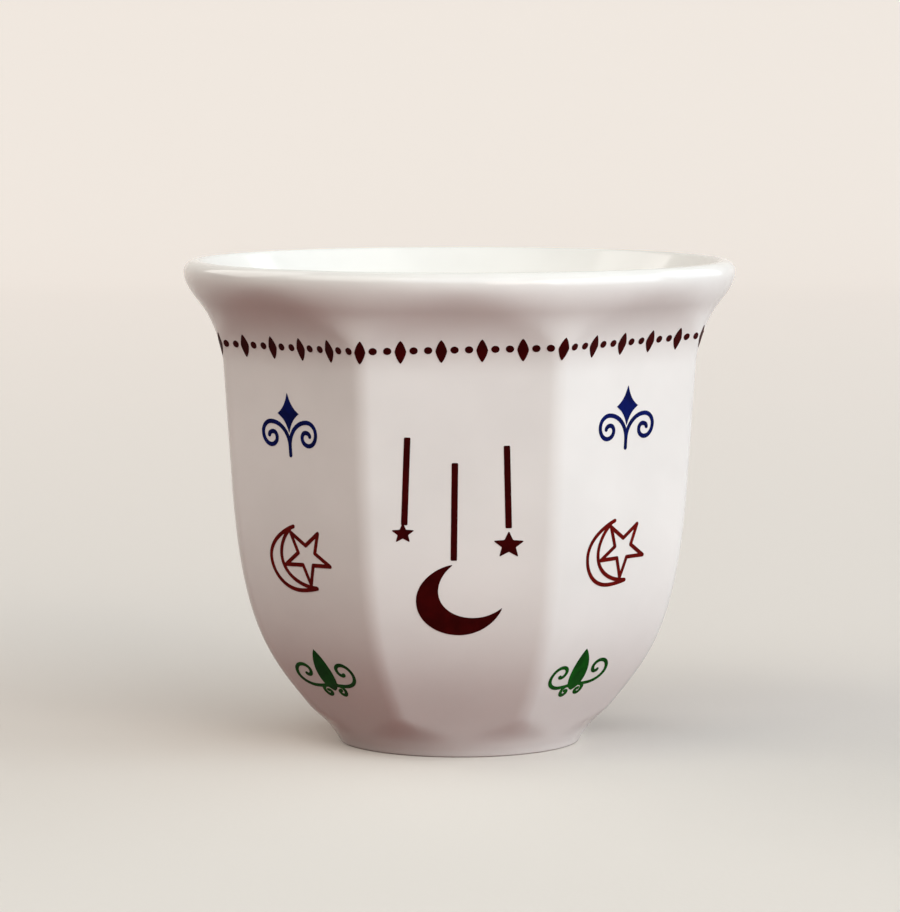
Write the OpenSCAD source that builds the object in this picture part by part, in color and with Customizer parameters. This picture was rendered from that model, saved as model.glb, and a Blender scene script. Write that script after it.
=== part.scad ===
// Small coffee cup without a handle: an eight-sided bell of white porcelain with a round
// lip and a low round foot, and fired-on prints in maroon, blue and green.
// Millimetres, +Z up. The origin is the middle of the face that the cup stands on, and the
// side with the hanging moon and stars faces -Y.
//
// Places on the wall are given in two lengths: across, from the middle line of a side to the
// right as seen from outside, and up, measured along the wall from the edge of the foot.

/* [Cup] */
// Height of the rim above the table
height = 56.3; // [52:0.1:62]
// Widest diameter, at the lip
lip_d = 64.1; // [61:0.1:68]
// Distance across two opposite sides at the waist, where the flare begins
waist_af = 54; // [51:0.1:56]
// Distance across two opposite sides where the belly begins to turn in
belly_af = 52.2; // [49:0.1:54]
// Height at which the belly begins to turn in
belly_h = 31; // [28:0.1:34]
// How far under the rim the flare begins
waist_drop = 11.5; // [10:0.1:13]
// Radius of the soft edge between two sides
arris_r = 3; // [2:0.1:4.5]
// Length of wall over which the belly leaves the heel
belly_low_pull = 10; // [8:0.1:12]
// Length of wall over which the belly runs into the upright wall
belly_high_pull = 19.6; // [17:0.1:22]

/* [Flare and lip] */
// How far the lip reaches out past the place where the flare runs into it
lip_reach = 1.8; // [1.4:0.05:2.2]
// How far that place is under the rim
flare_drop = 4.4; // [4:0.05:4.8]
// Lean of the flare there, in degrees from upright
flare_lean = 44; // [38:0.5:50]
// Length over which the wall begins to lean out
flare_low_pull = 4; // [3:0.1:5]
// Length over which the flare reaches its full lean
flare_high_pull = 1.3; // [0.8:0.1:2]
// Radius of the rounded rim, outside
rim_r = 1.3; // [1.1:0.01:1.5]
// Length over which the flare turns upright into the rim
lip_pull = 1.1; // [0.8:0.05:1.5]
// Length of wall under the rim over which the eight sides fade into the round lip
fade_h = 8; // [6.5:0.1:10]

/* [Inside] */
// Thickness of the wall at the middle of a side
wall_t = 2.6; // [2:0.1:3.4]
// Radius of the rounded rim, inside
rim_in_r = 1.2; // [0.9:0.05:1.5]
// Thickness of the wall where the flare runs into the lip
flare_t = 2.9; // [2.6:0.1:3.2]
// Lean of the inside under the rim, in degrees from upright
mouth_lean = 41.5; // [36:0.5:46]
// Length over which the inside of the flare turns into the wall
mouth_pull = 5.2; // [4:0.1:6]
// Height of the inside floor above the table
floor_h = 4.8; // [4.4:0.1:7]
// Diameter of the level part of the inside floor
floor_d = 12; // [8:0.5:16]

/* [Foot] */
// Diameter of the foot at the table
foot_d = 28; // [26:0.1:30]
// Lean of the foot's side at the table, in degrees from upright
foot_lean = 28; // [22:0.5:34]
// Diameter of the heel, where the foot runs into the belly
heel_d = 30; // [28.8:0.1:31.2]
// Height of the heel
heel_h = 1.6; // [1.3:0.1:2]
// Lean of the wall at the heel, in degrees from upright
heel_lean = 34.5; // [30:0.5:39]
// Rounding of the foot's outer edge
foot_edge = 0.3; // [0.15:0.05:0.5]
// Diameter of the hollow under the foot
hollow_d = 22.2; // [20:0.1:24]
// Depth of the hollow at its edge
hollow_h = 1.5; // [1:0.1:2]
// Extra depth of the hollow at its middle
hollow_dome = 0.5; // [0.2:0.1:0.8]
// Height over which the round foot becomes eight-sided
foot_fade_h = 3.5; // [2.5:0.1:5]

/* [Border] */
// Height of the border on the wall, above the waist
border_rise = 2.76; // [1.5:0.02:4]
// Tilt of the border, in degrees, rising to the right of the front
border_tilt = 1.3; // [0:0.1:2]
// How far the border is turned round the cup, along the wall
border_shift = 0.2; // [-1:0.05:1]
// Diamonds on each side of the cup
diamonds_per_side = 5; // [4:1:6]
// Width of a diamond
diamond_w = 1.28; // [0.9:0.02:1.5]
// Height of a diamond
diamond_h = 2.7; // [1.8:0.02:3]
// Width of a dot
dot_w = 0.92; // [0.6:0.02:1]
// Height of a dot
dot_h = 0.84; // [0.5:0.02:0.9]
// Distance from a diamond's middle to the dots beside it
dot_step = 1.46; // [1.3:0.02:1.6]
// Height of the dots above the diamonds' middles
dot_rise = 0.12; // [0:0.02:0.3]

/* [Moon and stars] */
// Width of a hanging string
string_w = 0.64; // [0.4:0.02:0.8]
// Width of the moon
moon_w = 9.55; // [8:0.05:11]
// Height of the moon
moon_h = 8.25; // [7:0.05:9.5]
// Left edge of the moon, from the middle line
moon_left = -4.86; // [-5.5:0.02:-4]
// Lower edge of the moon, along the wall from the foot
moon_rise = 18.4; // [16:0.05:20]
// Radius of the small star
small_star_r = 1.26; // [0.9:0.02:1.5]
// Radius of the large star
large_star_r = 1.72; // [1.3:0.02:2]

/* [Fleuron] */
// Width of the fleuron over the middles of its scroll lines
fleuron_w = 8.6; // [7:0.1:10]
// Height of the fleuron
fleuron_h = 7; // [6:0.1:8]
// Width of the fleuron's diamond
fleuron_tip_w = 3.4; // [2.6:0.1:4]
// Width of the fleuron's drawn line
fleuron_line = 0.42; // [0.3:0.02:0.5]

/* [Crescent with star] */
// Width of the crescent with its star
crescent_w = 9.4; // [8:0.05:10]
// Height of the crescent with its star
crescent_h = 7.65; // [6.5:0.05:8.5]
// Radius of the crescent's star, to the middle of its line
crescent_star_r = 3.7; // [3.4:0.05:4.2]
// Width of the crescent's drawn line
crescent_line = 0.38; // [0.26:0.02:0.46]

/* [Leaf] */
// Width of the leaf over the middles of its scroll lines
leaf_w = 8.9; // [7.5:0.1:10]
// Height of the leaf from its base to its tip
leaf_h = 5.7; // [5:0.1:6.5]
// Width of the leaf's blade
blade_w = 2.6; // [2:0.05:3]
// Width of the leaf's drawn line
leaf_line = 0.4; // [0.3:0.02:0.5]

/* [Print] */
// Thickness of the fired ink
ink_t = 0.06; // [0.04:0.01:0.12]
// Clearance between the ink and the glaze
ink_gap = 0.02; // [0.015:0.005:0.04]

/* [Hidden] */

// Sides of the cup, and the angle of each round the axis, from the front towards the right
sides = 8;
side_angle = 360 / sides;
half_angle = side_angle / 2;
front_angle = 0;
front_right_angle = side_angle;
right_angle = 2 * side_angle;
back_right_angle = 3 * side_angle;
back_angle = 4 * side_angle;
back_left_angle = 5 * side_angle;
left_angle = 6 * side_angle;
front_left_angle = 7 * side_angle;

// Steps in which curves are drawn
arris_steps = 6;
foot_edge_steps = 2;
heel_steps = 5;
belly_steps = 16;
flare_steps = 9;
lip_steps = 6;
rim_steps = 5;
quarter_steps = 5;
curve_steps = 8;
round_fn = 96;

// Length by which a cut runs past what it cuts
overrun = 1;
// Length of wall, up and down from a place, over which its lean is taken
lean_reach = 0.5;
// Width of the level crest between the two roundings of the rim
crest_land = 0.2;
// Step by which the belly laps over the foot at the heel
heel_lap = 0.05;
// Height by which the foot reaches up into the belly
heel_sink = 0.8;
// Rounding between the wall and the roof of the hollow under the foot
hollow_round = 0.8;
// Roundest that a section gets, as a share: one would leave no flat at all
round_share = 0.985;
// Where the inner rounding of the rim starts, in degrees from level
rim_start_angle = 15;
// Pulls of the foot's curve at the table and at the heel, as shares of its height
foot_pull_share = 0.45;
heel_pull_share = 0.45;
// Pulls of the inside curve at the belly and at the floor, as shares of the room there
inner_belly_share = 0.62;
inner_floor_share = 0.62;

lip_r = lip_d / 2;
flare_r = lip_r - lip_reach;
foot_r = foot_d / 2;
heel_r = heel_d / 2;
hollow_r = hollow_d / 2;
waist_z = height - waist_drop;

// Curves
function bezier(a, b, c, d, steps) = [
    for (i = [0:steps])
        let (t = i / steps, u = 1 - t)
        u * u * u * a + 3 * t * u * u * b + 3 * t * t * u * c + t * t * t * d
];
function lean(angle) = [sin(angle), cos(angle)];
function tail(points) = [for (i = [1:1:len(points) - 1]) points[i]];
function reversed(points) = [for (i = [len(points) - 1:-1:0]) points[i]];
function mirrored(points) = [for (p = points) [-p[0], p[1]]];
function ease(t) = let (u = min(max(t, 0), 1)) u * u * (3 - 2 * u);

// Outside of the cup at the middle of a side, as [distance from the axis, height]
foot_dir = lean(foot_lean);
foot_corner_r = foot_r - foot_edge * (cos(foot_lean) - (1 - sin(foot_lean)) * tan(foot_lean));
foot_point = [foot_corner_r, foot_edge] + foot_edge * [cos(foot_lean), -sin(foot_lean)];
heel_point = [heel_r, heel_h];
belly_point = [belly_af / 2, belly_h];
waist_point = [waist_af / 2, waist_z];
flare_point = [flare_r, height - flare_drop];
lip_point = [lip_r, height - rim_r];
wall_dir = (waist_point - belly_point) / norm(waist_point - belly_point);
heel_dir = lean(heel_lean);
flare_dir = lean(flare_lean);

foot_corner = [
    for (i = [0:foot_edge_steps])
        let (t = (90 - foot_lean) * i / foot_edge_steps)
        [foot_corner_r + foot_edge * sin(t), foot_edge - foot_edge * cos(t)]
];
heel_curve = bezier(foot_point, foot_point + foot_dir * heel_h * foot_pull_share,
    heel_point - heel_dir * heel_h * heel_pull_share, heel_point, heel_steps);
belly_curve = bezier(heel_point, heel_point + heel_dir * belly_low_pull,
    belly_point - wall_dir * belly_high_pull, belly_point, belly_steps);
flare_curve = bezier(waist_point, waist_point + wall_dir * flare_low_pull,
    flare_point - flare_dir * flare_high_pull, flare_point, flare_steps);
lip_curve = bezier(flare_point, flare_point + flare_dir * lip_pull,
    lip_point - [0, lip_pull], lip_point, lip_steps);
rim_curve = [
    for (i = [0:rim_steps])
        let (t = 90 * i / rim_steps)
        [lip_r - rim_r + rim_r * cos(t), height - rim_r + rim_r * sin(t)]
];
bell = concat(belly_curve, flare_curve, tail(lip_curve), tail(rim_curve));

// The same line from the edge of the foot, with the length along it
outside = concat(foot_corner, tail(heel_curve), tail(bell));
function running(points) = [
    for (i = 0, s = 0; i < len(points);
        s = s + (i + 1 < len(points) ? norm(points[i + 1] - points[i]) : 0), i = i + 1) s
];
lengths = running(outside);
reach_table = [for (i = [0:len(outside) - 1]) [lengths[i], outside[i][0]]];
level_table = [for (i = [0:len(outside) - 1]) [lengths[i], outside[i][1]]];
length_table = [for (i = [0:len(outside) - 1]) [outside[i][1], lengths[i]]];
function reach_at(up) = lookup(up, reach_table);
function level_at(up) = lookup(up, level_table);
function length_at(z) = lookup(z, length_table);

// Width of a side and length of wall, both at the waist, which the prints' places follow
side_w = waist_af * tan(half_angle);
wall_l = length_at(waist_z);

// Radius of the soft edges at a height: small on the wall, and full round at lip and foot
function edge_r(reach, z) =
    let (full = reach * round_share,
        up = ease((z - (height - rim_r - fade_h)) / fade_h),
        down = ease((heel_h + foot_fade_h - z) / foot_fade_h),
        wall = arris_r + (full - arris_r) * up)
    wall + (full - wall) * down;

// One level ring of the bell, and a closed skin over a stack of rings
function ring(reach, z) =
    let (r = edge_r(reach, z), c = (reach - r) / cos(half_angle))
    [
        for (i = [0:sides - 1])
            let (corner = -90 + half_angle + i * side_angle)
            for (j = [0:arris_steps])
                let (t = corner - half_angle + side_angle * j / arris_steps)
                [c * cos(corner) + r * cos(t), c * sin(corner) + r * sin(t), z]
    ];

module bell_solid() {
    per_ring = sides * (arris_steps + 1);
    last = len(bell) - 1;
    widened = concat([bell[0] + [heel_lap, 0]], tail(bell));
    points = [for (p = widened) each ring(p[0], p[1])];
    walls = [
        for (k = [0:last - 1])
            for (i = [0:per_ring - 1])
                let (a = k * per_ring + i, b = k * per_ring + (i + 1) % per_ring)
                each [[a, b + per_ring, b], [a, a + per_ring, b + per_ring]]
    ];
    underside = [for (i = [0:per_ring - 1]) i];
    top = [for (i = [per_ring - 1:-1:0]) last * per_ring + i];
    polyhedron(points, concat(walls, [underside], [top]), convexity = 4);
}

// Inside of the cup, as [distance from the axis, height], from the rim to the floor
rim_in_top = lip_r - rim_r - crest_land;
function rim_in(t) = [
    rim_in_top - rim_in_r * (sin(t) - sin(rim_start_angle)),
    height - rim_in_r * (cos(rim_start_angle) - cos(t))
];
rim_turn_angle = 90 - mouth_lean - rim_start_angle;
inner_flare = flare_point + flare_t * [-cos(flare_lean), sin(flare_lean)];
inner_waist = waist_point - [wall_t, 0];
inner_belly = belly_point - [wall_t, 0];
floor_point = [floor_d / 2, floor_h];

module inside() {
    start = rim_in(rim_start_angle) + overrun * [cos(rim_start_angle), sin(rim_start_angle)];
    rim_part = [
        for (i = [0:rim_steps])
            rim_in(rim_start_angle + rim_turn_angle * i / rim_steps)
    ];
    mouth_part = bezier(inner_flare, inner_flare - lean(mouth_lean) * mouth_pull,
        inner_waist + wall_dir * mouth_pull, inner_waist, curve_steps);
    bowl_part = bezier(inner_belly,
        inner_belly - wall_dir * (inner_belly[1] - floor_h) * inner_belly_share,
        floor_point + [(inner_belly[0] - floor_point[0]) * inner_floor_share, 0],
        floor_point, belly_steps);
    rotate_extrude($fn = round_fn)
        polygon(concat([[0, start[1]], start], rim_part, mouth_part, bowl_part,
            [[0, floor_h]]));
}

module foot_solid() {
    rotate_extrude($fn = round_fn)
        polygon(concat([[0, 0]], foot_corner, tail(heel_curve),
            [[heel_r, heel_h + heel_sink], [0, heel_h + heel_sink]]));
}

module foot_hollow() {
    corner = [
        for (i = [0:quarter_steps])
            let (t = 90 * i / quarter_steps)
            [hollow_r - hollow_round + hollow_round * cos(t),
                hollow_h - hollow_round + hollow_round * sin(t)]
    ];
    rotate_extrude($fn = round_fn)
        polygon(concat([[0, -overrun], [hollow_r, -overrun]], corner,
            [[0, hollow_h + hollow_dome]]));
}

module cup_body() {
    color("#f4f1ee")
        difference() {
            union() {
                bell_solid();
                foot_solid();
            }
            inside();
            foot_hollow();
        }
}

// A point on the outside, and which way the wall faces there, at a distance round the wall
// from the middle of a side
function round_section(reach, z, across) =
    let (r = edge_r(reach, z), flat = (reach - r) * tan(half_angle),
        past = max(abs(across) - flat, 0), turn = past / r * 180 / PI,
        side = across < 0 ? -1 : 1)
    past == 0
        ? [across, -reach, 0, -1]
        : [side * (flat + r * sin(turn)), r - reach - r * cos(turn), side * sin(turn), -cos(turn)];
function on_wall(across, up, out) =
    let (along = [reach_at(up + lean_reach) - reach_at(up - lean_reach),
            level_at(up + lean_reach) - level_at(up - lean_reach)],
        dir = along / norm(along), z = level_at(up), s = round_section(reach_at(up), z, across))
    [s[0] + out * dir[1] * s[2], s[1] + out * dir[1] * s[3], z - out * dir[0]];

// A small print over an outline round a middle point, laid on the wall as one thin solid
module laid_print(outline, middle) {
    n = len(outline);
    function layer(out) = concat([on_wall(middle[0], middle[1], out)],
        [for (p = outline) on_wall(middle[0] + p[0], middle[1] + p[1], out)]);
    under = [for (i = [0:n - 1]) [0, 1 + i, 1 + (i + 1) % n]];
    over = [for (i = [0:n - 1]) [n + 1, n + 2 + (i + 1) % n, n + 2 + i]];
    rim = [
        for (i = [0:n - 1])
            let (a = 1 + i, b = 1 + (i + 1) % n)
            each [[a, a + n + 1, b + n + 1], [a, b + n + 1, b]]
    ];
    polyhedron(concat(layer(ink_gap), layer(ink_gap + ink_t)), concat(under, over, rim));
}

// Border: diamonds with rounded flanks, and two dots between each pair
diamond_points = 12;
dot_points = 8;
// Powers that shape a diamond across and up: 1 is an ellipse and 2 has straight flanks
diamond_across_power = 1.46;
diamond_up_power = 1.56;
function power(x, p) = x == 0 ? 0 : sign(x) * pow(abs(x), p);
function diamond_outline() = [
    for (i = [0:diamond_points - 1])
        let (t = 360 * i / diamond_points)
        [diamond_w / 2 * power(cos(t), diamond_across_power),
            diamond_h / 2 * power(sin(t), diamond_up_power)]
];
function dot_outline() = [
    for (i = [0:dot_points - 1])
        let (t = 360 * i / dot_points)
        [dot_w / 2 * cos(t), dot_h / 2 * sin(t)]
];

border_up = wall_l + border_rise;
border_reach = reach_at(border_up);
border_edge_r = edge_r(border_reach, level_at(border_up));
border_side_w = 2 * (border_reach - border_edge_r) * tan(half_angle)
    + border_edge_r * side_angle * PI / 180;
diamond_pitch = border_side_w / diamonds_per_side;

// How far the border strays at each soft edge, round from the one to the right of the front,
// across and up, as shares of the distance between two diamonds
border_stray_shares = [
    [-0.01, 0], [0.05, 0], [0.03, 0], [0.02, 0], [0, 0], [-0.04, 0.03], [-0.1, 0.07], [0.01, 0.01]
];

// Place of a piece of the border, from its distance along the side's stretch
function border_place(side_turn, along) =
    let (side = side_turn / side_angle,
        before = border_stray_shares[(side + sides - 1) % sides],
        after = border_stray_shares[side],
        stray = (before + (after - before) * along / border_side_w) * diamond_pitch,
        across = along - border_side_w / 2 + border_shift + stray[0],
        flat = on_wall(across, border_up, 0),
        right = flat[0] * cos(side_turn) - flat[1] * sin(side_turn))
    [across, border_up + tan(border_tilt) * right + stray[1]];

module border(side_turn) {
    color("#300203")
        rotate([0, 0, side_turn])
            for (i = [0:diamonds_per_side - 1]) {
                laid_print(diamond_outline(), border_place(side_turn, i * diamond_pitch));
                for (step = [dot_step, diamond_pitch - dot_step])
                    laid_print(dot_outline(),
                        border_place(side_turn, i * diamond_pitch + step) + [0, dot_rise]);
            }
}

// Prints on one side are cut from a thin strip that follows the flat of that side
function strip_line(out) = [
    for (i = [0:len(outside) - 1])
        let (before = outside[max(i - 1, 0)], after = outside[min(i + 1, len(outside) - 1)],
            d = (after - before) / norm(after - before))
        [-(outside[i][0] + out * d[1]), outside[i][1] - out * d[0]]
];
// How far the ink spreads past its drawn outline, which rounds the corners
ink_soft = 0.04;
soft_fn = 16;

module printed_on(side_turn) {
    rotate([0, 0, side_turn])
        intersection() {
            translate([-side_w / 2, 0, 0])
                rotate([90, 0, 90])
                    linear_extrude(side_w)
                        polygon(concat(strip_line(ink_gap),
                            reversed(strip_line(ink_gap + ink_t))));
            rotate([90, 0, 0])
                linear_extrude(lip_r)
                    offset(r = ink_soft, $fn = soft_fn)
                        children();
        }
}

// A place is [across, up]; an outline turned there is laid on the wall's own curve
function scaled(shares, size) = [for (p = shares) [p[0] * size[0], p[1] * size[1]]];
function place_of(share) = [share[0] * side_w, share[1] * wall_l];
function turned(p, angle) =
    [p[0] * cos(angle) - p[1] * sin(angle), p[0] * sin(angle) + p[1] * cos(angle)];
function placed(points, place, angle) = [
    for (p = points)
        let (q = turned(p, angle) + place)
        [q[0], level_at(q[1])]
];
module ink(points, place, angle = 0) {
    polygon(placed(points, place, angle));
}

// A line of even width along points, as one outline
function square_to(points, i) =
    let (d = points[min(i + 1, len(points) - 1)] - points[max(i - 1, 0)])
    [-d[1], d[0]] / norm(d);
function line_outline(points, width) = concat(
    [for (i = [0:len(points) - 1]) points[i] + square_to(points, i) * width / 2],
    [for (i = [len(points) - 1:-1:0]) points[i] - square_to(points, i) * width / 2]
);

// A smooth line through every third point, drawn towards the two points between
function smooth(points) = concat([points[0]], [
    for (i = [0:3:len(points) - 4])
        each tail(bezier(points[i], points[i + 1], points[i + 2], points[i + 3], curve_steps))
]);

// A scroll runs through its turning points, where it is upright and level by turns
function quarter(a, b, upright_first) = [
    for (i = [1:quarter_steps])
        let (t = 90 * i / quarter_steps)
        upright_first
            ? [b[0] + (a[0] - b[0]) * cos(t), a[1] + (b[1] - a[1]) * sin(t)]
            : [a[0] + (b[0] - a[0]) * sin(t), b[1] + (a[1] - b[1]) * cos(t)]
];
function scroll(turns, upright_first) = concat([turns[0]], [
    for (i = [1:len(turns) - 1])
        each quarter(turns[i - 1], turns[i], (i % 2 == 1) == upright_first)
]);

// A star of five points, with its inner radius and its height as shares of its radius
star_points = 5;
star_height_share = 0.9;
function star(r, inner_share, top) = [
    for (i = [0:2 * star_points - 1])
        let (t = top + 180 * i / star_points, reach = i % 2 == 0 ? r : r * inner_share)
        [reach * cos(t), reach * sin(t) * star_height_share]
];

// Moon and stars. A string is its upper and its lower end, and the places of strings and
// stars are shares of the side's width and of the wall's length
string_shares = [
    [[-0.2607, 0.8544], [-0.2763, 0.6507]],
    [[-0.0246, 0.7948], [-0.0304, 0.5666]],
    [[0.2325, 0.8353], [0.2423, 0.6437]]
];
small_star_share = [-0.2835, 0.6301];
large_star_share = [0.2432, 0.6026];
star_inner_share = 0.45;
// Outline of the moon from its upper tip round its back, as shares of its width and height
moon_shares = [
    [0.42, 1], [0.24, 0.97], [0, 0.77],
    [0, 0.5], [0, 0.2], [0.24, 0],
    [0.5, 0], [0.72, 0], [0.92, 0.17],
    [1, 0.39], [0.9, 0.29], [0.78, 0.245],
    [0.66, 0.245], [0.43, 0.245], [0.25, 0.41],
    [0.25, 0.63], [0.25, 0.79], [0.34, 0.93],
    [0.42, 1]
];

module moon_and_stars(side_turn) {
    color("#3a0404")
        printed_on(side_turn) {
            for (string = string_shares)
                ink(line_outline([place_of(string[0]), place_of(string[1])], string_w), [0, 0]);
            ink(star(small_star_r, star_inner_share, 90), place_of(small_star_share));
            ink(star(large_star_r, star_inner_share, 90), place_of(large_star_share));
            ink(tail(smooth(scaled(moon_shares, [moon_w, moon_h]))), [moon_left, moon_rise]);
        }
}

// Places, turns and widths of the three small prints, for the sides at the front right, back
// right, back left and front left: a place is a share of the side's width and of the wall's
// length, and a width is a share of the print's own
fleuron_place_shares = [[-0.0054, 0.8168], [0, 0.8098], [0, 0.8098], [-0.0232, 0.7978]];
fleuron_turn_angles = [0, 0, 0, 1.2];
crescent_place_shares = [[0.022, 0.5751], [0.035, 0.5686], [0.035, 0.5686], [0.046, 0.5591]];
crescent_turn_angles = [0, 0, 0, 1.5];
crescent_width_shares = [0.98, 1, 1, 1.03];
leaf_place_shares = [[-0.084, 0.2092], [-0.05, 0.2052], [-0.05, 0.2052], [-0.026, 0.1992]];
leaf_turn_angles = [4, 2, 2, 5];
leaf_width_shares = [0.98, 1, 1, 1.07];
function order_of(side_turn) = round((side_turn - front_right_angle) / (2 * side_angle));

// Fleuron: a diamond with hollow flanks over a stem that parts into two scrolls. The scroll
// and the flank are shares of the fleuron's height, and across of its own and its diamond's width
fleuron_scroll_shares = [
    [0, 0.14], [0.335, 0.543], [0.5, 0.36], [0.355, 0.165], [0.24, 0.285], [0.31, 0.378],
    [0.385, 0.32]
];
fleuron_flank_shares = [
    [0, 1], [0.02, 0.985], [0.1, 0.775],
    [0.5, 0.675], [0.15, 0.59], [0.05, 0.45],
    [0, 0.37]
];

module fleuron(side_turn) {
    place = place_of(fleuron_place_shares[order_of(side_turn)]);
    angle = fleuron_turn_angles[order_of(side_turn)];
    right_scroll = scroll(scaled(fleuron_scroll_shares, [fleuron_w, fleuron_h]), true);
    right_flank = smooth(scaled(fleuron_flank_shares, [fleuron_tip_w, fleuron_h]));
    color("#04125a")
        printed_on(side_turn) {
            ink(concat(right_flank, mirrored(reversed(right_flank))), place, angle);
            for (line = [[[0, 0], right_scroll[0]], right_scroll, mirrored(right_scroll)])
                ink(line_outline(line, fleuron_line), place, angle);
        }
}

// Crescent with star: both drawn in line, from the star's middle, as shares of their size
crescent_outer_shares = [
    [-0.18, 0.44], [-0.34, 0.379], [-0.615, 0.209],
    [-0.615, -0.059], [-0.615, -0.314], [-0.44, -0.529],
    [-0.195, -0.529], [-0.09, -0.529], [0.01, -0.51],
    [0.1, -0.484]
];
crescent_inner_shares = [
    [-0.245, 0.399], [-0.358, 0.288], [-0.433, 0.131],
    [-0.433, -0.02], [-0.433, -0.301], [-0.18, -0.471],
    [0.09, -0.481]
];
crescent_star_inner_share = 0.375;

module crescent(side_turn) {
    place = place_of(crescent_place_shares[order_of(side_turn)]);
    angle = crescent_turn_angles[order_of(side_turn)];
    width_share = crescent_width_shares[order_of(side_turn)];
    size = [crescent_w * width_share, crescent_h];
    star_line = scaled(star(crescent_star_r, crescent_star_inner_share, -89), [width_share, 1]);
    color("#5a0f0c")
        printed_on(side_turn) {
            for (shares = [crescent_outer_shares, crescent_inner_shares])
                ink(line_outline(smooth(scaled(shares, size)), crescent_line), place, angle);
            difference() {
                offset(r = crescent_line / 2, $fn = soft_fn)
                    ink(star_line, place, angle);
                offset(delta = -crescent_line / 2)
                    ink(star_line, place, angle);
            }
        }
}

// Leaf: a pointed blade between two scrolls that rise, with a small curl under each
leaf_scroll_shares = [
    [0.034, 0.158], [0.247, 0.123], [0.5, 0.421], [0.35, 0.662], [0.24, 0.526], [0.303, 0.4],
    [0.34, 0.43]
];
leaf_curl_shares = [[0.03, 0.16], [0.185, 0.015], [0.13, -0.115], [0.08, -0.04], [0.12, 0.01]];
blade_flank_shares = [[0, 1.015], [0.6, 0.69], [0.66, 0.12], [0, 0]];

module leaf(side_turn) {
    place = place_of(leaf_place_shares[order_of(side_turn)]);
    angle = leaf_turn_angles[order_of(side_turn)];
    size = [leaf_w * leaf_width_shares[order_of(side_turn)], leaf_h];
    right_scroll = scroll(scaled(leaf_scroll_shares, size), true);
    right_curl = scroll(scaled(leaf_curl_shares, size), false);
    right_flank = smooth(scaled(blade_flank_shares, [blade_w, leaf_h]));
    color("#053a04")
        printed_on(side_turn) {
            ink(concat(right_flank, mirrored(reversed(right_flank))), place, angle);
            for (line = [right_scroll, mirrored(right_scroll), right_curl, mirrored(right_curl)])
                ink(line_outline(line, leaf_line), place, angle);
        }
}

cup_body();
border(front_angle);  // border_front
border(front_right_angle);  // border_front_right
border(right_angle);  // border_right
border(back_right_angle);  // border_back_right
border(back_angle);  // border_back
border(back_left_angle);  // border_back_left
border(left_angle);  // border_left
border(front_left_angle);  // border_front_left
moon_and_stars(front_angle);  // moon_and_stars_front
moon_and_stars(right_angle);  // moon_and_stars_right
moon_and_stars(back_angle);  // moon_and_stars_back
moon_and_stars(left_angle);  // moon_and_stars_left
fleuron(front_right_angle);  // fleuron_front_right
fleuron(back_right_angle);  // fleuron_back_right
fleuron(back_left_angle);  // fleuron_back_left
fleuron(front_left_angle);  // fleuron_front_left
crescent(front_right_angle);  // crescent_front_right
crescent(back_right_angle);  // crescent_back_right
crescent(back_left_angle);  // crescent_back_left
crescent(front_left_angle);  // crescent_front_left
leaf(front_right_angle);  // leaf_front_right
leaf(back_right_angle);  // leaf_back_right
leaf(back_left_angle);  // leaf_back_left
leaf(front_left_angle);  // leaf_front_left
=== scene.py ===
"""Looks of a small eight-sided porcelain coffee cup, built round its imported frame.

The cup is one fired body with a clear glaze, and each print on it is a ceramic transfer that
was laid on the glaze and fired again. Every piece is built from the same sizes as the solids,
in millimetres, and turned to metres when its mesh is made.
"""

import logging
import math
from dataclasses import dataclass
from enum import Enum
from typing import Any, ClassVar, Iterable, Sequence

import bpy
import numpy as np
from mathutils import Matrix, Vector
from mathutils.geometry import delaunay_2d_cdt


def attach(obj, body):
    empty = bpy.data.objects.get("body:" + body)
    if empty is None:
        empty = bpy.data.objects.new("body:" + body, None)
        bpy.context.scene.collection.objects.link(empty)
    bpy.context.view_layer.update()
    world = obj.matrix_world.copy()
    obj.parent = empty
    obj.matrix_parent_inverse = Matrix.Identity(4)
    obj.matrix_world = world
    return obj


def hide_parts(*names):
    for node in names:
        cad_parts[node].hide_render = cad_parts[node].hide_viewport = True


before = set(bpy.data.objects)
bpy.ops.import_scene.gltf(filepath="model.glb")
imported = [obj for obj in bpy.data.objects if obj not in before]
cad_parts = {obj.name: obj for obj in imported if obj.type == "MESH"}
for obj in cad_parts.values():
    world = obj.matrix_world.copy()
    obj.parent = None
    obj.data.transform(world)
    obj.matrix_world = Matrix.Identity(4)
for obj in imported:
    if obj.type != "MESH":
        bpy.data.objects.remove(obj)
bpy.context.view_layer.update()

LOG = logging.getLogger("coffee_cup")
MM = 0.001
Points = np.ndarray
Pair = tuple[float, float]
Pairs = tuple[Pair, ...]


def linear(colour: str) -> tuple[float, float, float, float]:
    """Turn an sRGB hex colour into the linear colour that a shader takes.

    Args:
        colour: The colour as "#rrggbb".

    Returns:
        Red, green and blue in linear light, and an alpha of one.
    """
    shares = [int(colour[i:i + 2], 16) / 255 for i in (1, 3, 5)]
    light = [s / 12.92 if s <= 0.04045 else ((s + 0.055) / 1.055) ** 2.4 for s in shares]
    return (light[0], light[1], light[2], 1.0)


def ease(share: Points) -> Points:
    """Run smoothly from zero to one, and stay level outside that span."""
    held = np.clip(share, 0.0, 1.0)
    return held * held * (3 - 2 * held)


def bezier(points: Sequence[Points], steps: int) -> Points:
    """Draw one smooth stretch from the first of four points to the last.

    Args:
        points: The start, the two points that it is drawn towards, and the end.
        steps: Number of steps along it.

    Returns:
        The points along it, both ends included.
    """
    t = np.linspace(0, 1, steps + 1)[:, None]
    a, b, c, d = (np.asarray(p, float) for p in points)
    return (1 - t) ** 3 * a + 3 * t * (1 - t) ** 2 * b + 3 * t * t * (1 - t) * c + t ** 3 * d


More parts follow.
